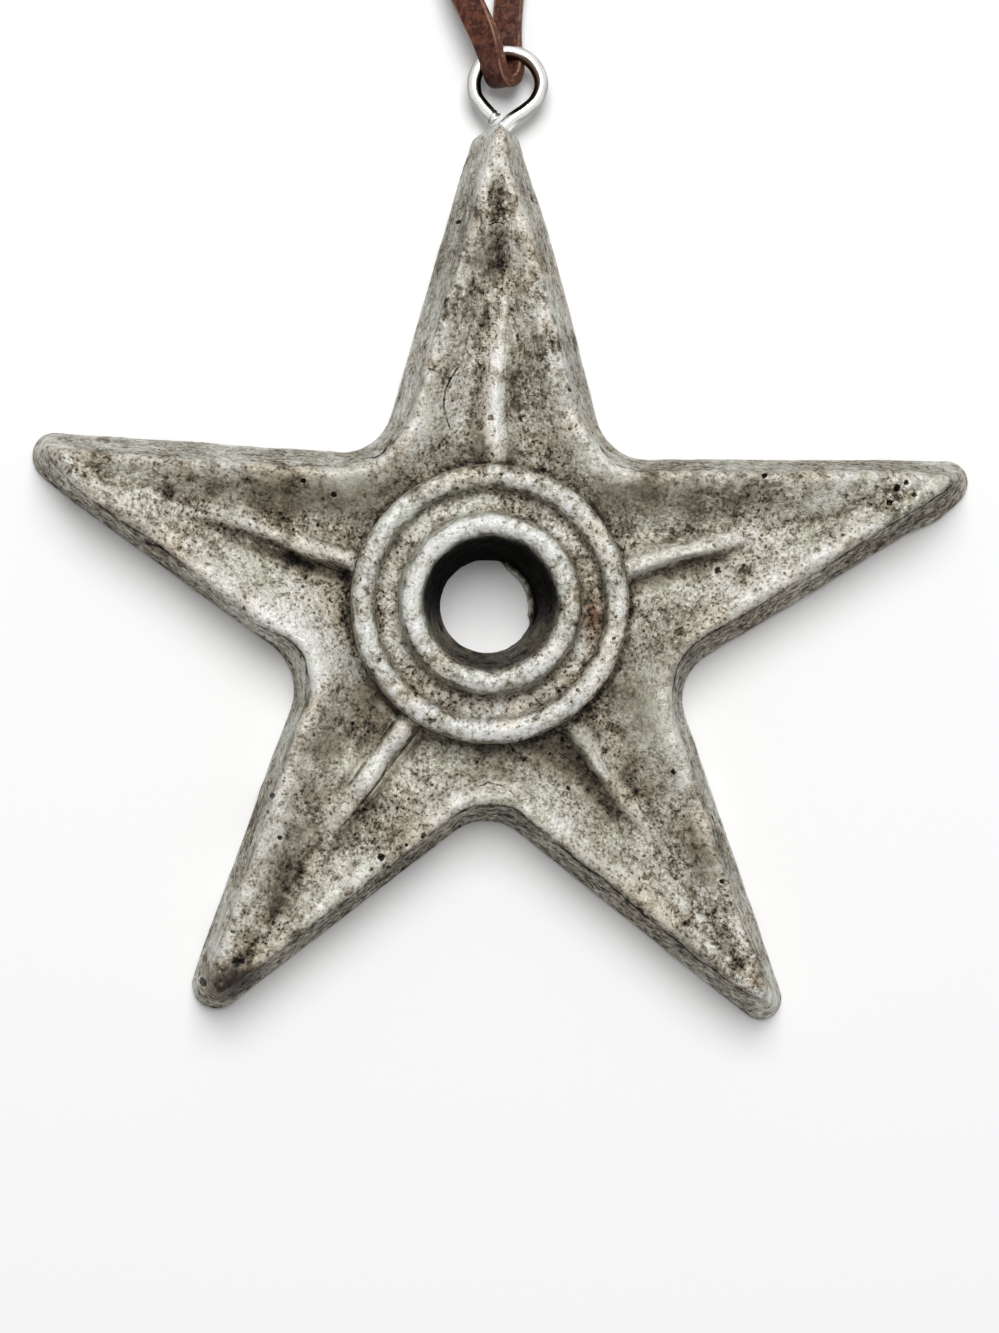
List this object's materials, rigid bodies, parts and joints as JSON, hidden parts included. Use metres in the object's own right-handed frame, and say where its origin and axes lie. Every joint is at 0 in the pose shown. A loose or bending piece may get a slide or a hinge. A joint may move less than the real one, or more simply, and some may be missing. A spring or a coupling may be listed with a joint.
{
  "type": "star ornament",
  "caption": "Cast metal star with raised rims, arm ribs and a ringed hub with a through bore, hung from a wire screw eye on a knotted leather lace.",
  "frame": {"origin": "on the surface that the flat back lies on, under the middle of the casting and its eye", "axes": "+Z out of the star's face, +Y towards the top arm and its eye, +X to the right of the face"},
  "size_m": [0.1008, 0.2052, 0.0114],
  "materials": {
    "cast_metal": "sand-cast, pitted, with a warm grey-brown patina in the hollows",
    "eye_wire": "bright drawn wire",
    "lace_leather": "brown leather lace with paler cut edges"
  },
  "bodies": {
    "star": {"star_casting": "cast_metal", "screw_eye": "eye_wire"},
    "lace_loop": {"leather_lace": "lace_leather", "lace_knot": "lace_leather"}
  },
  "joints": [
    {"name": "lace_swing", "type": "hinge", "parent": "star", "child": "lace_loop", "pos_m": [-0.00125, 0.05079, 0.0024], "axis": [0.9703, 0.2419, 0], "range_deg": [0, 125]}
  ]
}
